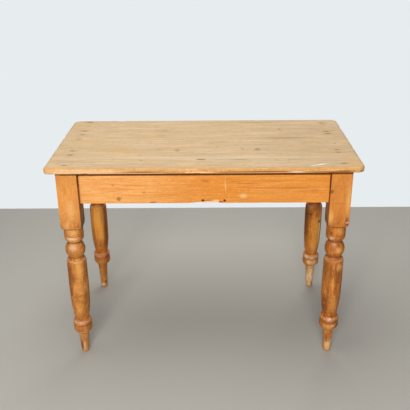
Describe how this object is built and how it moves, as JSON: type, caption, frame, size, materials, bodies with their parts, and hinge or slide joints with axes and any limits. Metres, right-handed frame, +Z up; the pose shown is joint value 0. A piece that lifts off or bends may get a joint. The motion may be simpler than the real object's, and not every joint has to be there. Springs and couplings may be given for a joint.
{
  "type": "farmhouse table",
  "caption": "Small farmhouse table with a plank top nailed over mortised aprons on four turned legs with vase bodies, balls and peg feet.",
  "frame": {"origin": "on the floor under the centre of the top", "axes": "+X along the table to its right end, +Y from the front to the back, +Z up"},
  "size_m": [1.06, 0.56, 0.75],
  "materials": {
    "top_boards": "scrubbed and worn bare, grain along the table",
    "aprons": "old warm varnish, satin",
    "legs": "old warm varnish, satin, worn on the raised turnings",
    "glue_blocks": "bare sawn wood",
    "nails": "dull, slightly rusty"
  },
  "bodies": {
    "root": {"top_board_back": "top_boards", "top_board_middle": "top_boards", "top_board_front": "top_boards", "apron_front": "aprons", "apron_back": "aprons", "apron_left_end": "aprons", "apron_right_end": "aprons", "leg_front_left": "legs", "leg_front_right": "legs", "leg_back_left": "legs", "leg_back_right": "legs", "glue_block_back_left": "glue_blocks", "glue_block_back_middle": "glue_blocks", "glue_block_back_right": "glue_blocks", "glue_block_front_left": "glue_blocks", "glue_block_front_middle": "glue_blocks", "glue_block_front_right": "glue_blocks", "glue_block_left_end": "glue_blocks", "glue_block_right_end": "glue_blocks", "nails_left_end": "nails", "nails_right_end": "nails"}
  },
  "joints": []
}
